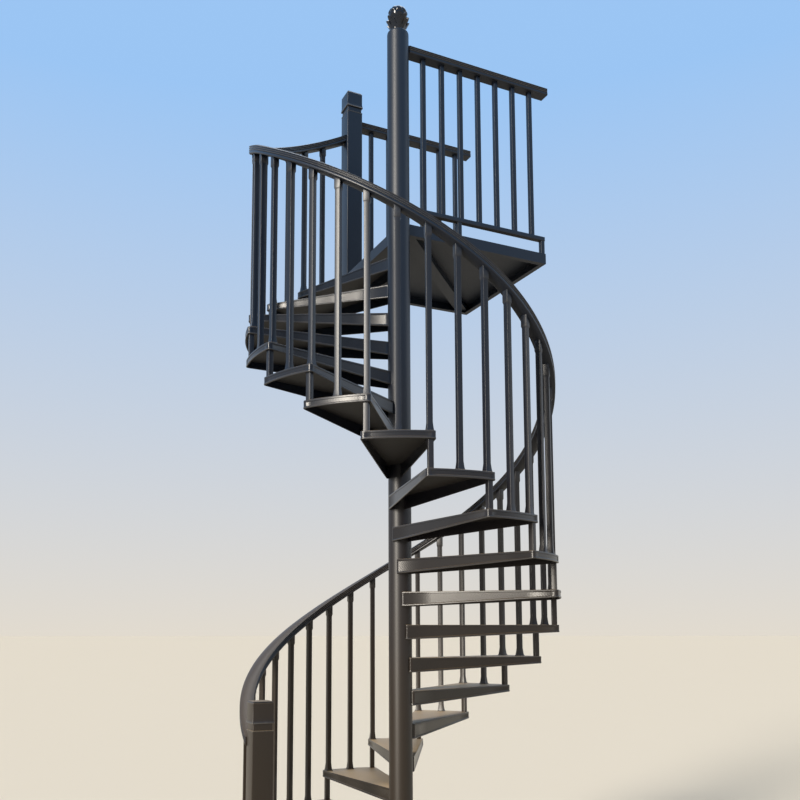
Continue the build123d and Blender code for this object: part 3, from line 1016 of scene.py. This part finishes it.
# Name, azimuth, elevation, width, strength and tone. The four key discs over each other stand for one tall
# soft box, brightest in its lower half.
LAMPS = (
    ("key_light_1", -127, 4, 12, 1.6, WARM),
    ("key_light_2", -127, 17, 14, 2.6, WARM),
    ("key_light_3", -127, 29, 12, 1.1, WARM),
    ("key_light_4", -127, 43, 12, 0.85, WARM),
    ("side_light", 10, 20, 40, 0.25, COOL),
    ("top_light", 70, 66, 40, 0.8, PLAIN),
)
SKY_TONE, SKY_STRENGTH = (0.64, 0.82, 1.0), 0.26
HORIZON_TONE, BLUE_TONE = (0.77, 0.71, 0.615), (0.33, 0.56, 0.90)
HORIZON_HEIGHT, BLUE_HEIGHT = -0.02, 0.55


def add_lamp(name, azimuth, elevation, width, strength, tone):
    """A distant soft lamp, seen from the stair at an azimuth from +X and an elevation as a disc of a width,
    all in degrees."""
    data = bpy.data.lights.new(name, "SUN")
    data.angle, data.energy, data.color = math.radians(width), strength, tone
    lamp = bpy.data.objects.new(name, data)
    lamp.location = (0, 0, LAMP_HEIGHT)
    lamp.rotation_euler = Euler((math.radians(90 - elevation), 0, math.radians(azimuth + 90)))
    bpy.context.scene.collection.objects.link(lamp)


class STAIR_OT_stage(bpy.types.Operator):
    """Adds the pale floor, the studio light and the camera"""
    bl_idname = "stair.stage"
    bl_label = "Studio"

    def execute(self, context):
        scene = context.scene
        self.add_floor(scene)
        for lamp in LAMPS:
            add_lamp(*lamp)
        self.add_world(scene)
        self.add_camera(scene)
        scene.view_settings.view_transform = "Standard"
        return {"FINISHED"}

    def add_floor(self, scene):
        """A plain level floor that reaches far past the stair."""
        floor = bpy.data.meshes.new("studio_floor")
        corners = [(FLOOR_REACH * x, FLOOR_REACH * y, 0) for x, y in ((-1, -1), (1, -1), (1, 1), (-1, 1))]
        floor.from_pydata(corners, [], [(0, 1, 2, 3)])
        ground = bpy.data.objects.new("studio_floor", floor)
        scene.collection.objects.link(ground)
        floor.materials.append(floor_paint("floor_paint"))

    def add_world(self, scene):
        """A soft even sky for the light. Where the camera, a reflection or a clear surface sees past the
        stair there is a plain pale backdrop, warm at the horizon and turning pale blue with the direction's
        height."""
        world = bpy.data.worlds.new("studio_sky")
        world.use_nodes = True
        scene.world = world
        nodes = Nodes(world.node_tree)
        sky = nodes.tree.nodes["Background"]
        nodes.feed(sky.inputs["Color"], SKY_TONE)
        nodes.feed(sky.inputs["Strength"], SKY_STRENGTH)
        height = nodes.node("ShaderNodeTexCoord", {}, {}, "Generated").part("Z")
        tone = nodes.blend(height.between(HORIZON_HEIGHT, BLUE_HEIGHT, "LINEAR"), HORIZON_TONE, BLUE_TONE)
        backdrop = nodes.node("ShaderNodeBackground", {}, {"Color": tone, "Strength": 1.0})
        seen = nodes.node("ShaderNodeLightPath", {}, {}, "Is Camera Ray")
        for kind in ("Is Glossy Ray", "Is Transmission Ray"):
            seen = seen.math("MAXIMUM", seen, nodes.node("ShaderNodeLightPath", {}, {}, kind))
        light = Value(nodes, sky.outputs[0])
        choice = nodes.node("ShaderNodeMixShader", {}, {"Fac": seen, 1: light, 2: backdrop})
        nodes.tree.links.new(choice.socket, nodes.tree.nodes["World Output"].inputs["Surface"])

    def add_camera(self, scene):
        """A camera at a standing person's eye, looking slightly up, framed as the picture is."""
        data = bpy.data.cameras.new("camera")
        data.sensor_width = SENSOR
        data.lens = FOCAL_PIXELS / PICTURE * SENSOR
        data.shift_x = (PICTURE / 2 - CENTRE[0]) / PICTURE
        data.shift_y = (CENTRE[1] - PICTURE / 2) / PICTURE
        eye = bpy.data.objects.new("camera", data)
        eye.location = CAMERA_PLACE
        eye.rotation_euler = Euler((math.pi / 2 + CAMERA_PITCH, CAMERA_ROLL, -CAMERA_YAW))
        scene.collection.objects.link(eye)
        scene.camera = eye


class STAIR_PT_panel(bpy.types.Panel):
    """Lists the stair's sizes and its builders"""
    bl_idname = "STAIR_PT_panel"
    bl_label = "Spiral Stair"
    bl_space_type = "VIEW_3D"
    bl_region_type = "UI"
    bl_category = "Stair"

    def draw(self, context):
        for group_name in StairSettings.__annotations__:
            group = getattr(context.scene.stair, group_name)
            box = self.layout.box()
            box.label(text=group_name.capitalize())
            for name in type(group).__annotations__:
                box.prop(group, name)
        for operator in BUILDERS:
            self.layout.operator(operator.bl_idname)


SIZE_GROUPS = (StepSizes, BarSizes, RailSizes, NewelSizes, GuardSizes, BallSizes, FinishColours,
               StairSettings)
BUILDERS = (STAIR_OT_column, STAIR_OT_ball, STAIR_OT_treads, STAIR_OT_rail, STAIR_OT_bars, STAIR_OT_newels,
            STAIR_OT_guards, STAIR_OT_landing, STAIR_OT_stage)


def register():
    for kind in (*SIZE_GROUPS, *BUILDERS, STAIR_PT_panel):
        bpy.utils.register_class(kind)
    bpy.types.Scene.stair = PointerProperty(type=StairSettings)


def unregister():
    del bpy.types.Scene.stair
    for kind in reversed((*SIZE_GROUPS, *BUILDERS, STAIR_PT_panel)):
        bpy.utils.unregister_class(kind)


def main():
    """Builds every piece in order."""
    register()
    bpy.ops.stair.column()
    bpy.ops.stair.ball()
    bpy.ops.stair.treads()
    bpy.ops.stair.rail()
    bpy.ops.stair.bars()
    bpy.ops.stair.newels()
    bpy.ops.stair.guards()
    bpy.ops.stair.landing()
    bpy.ops.stair.stage()


if __name__ == "__main__":
    main()
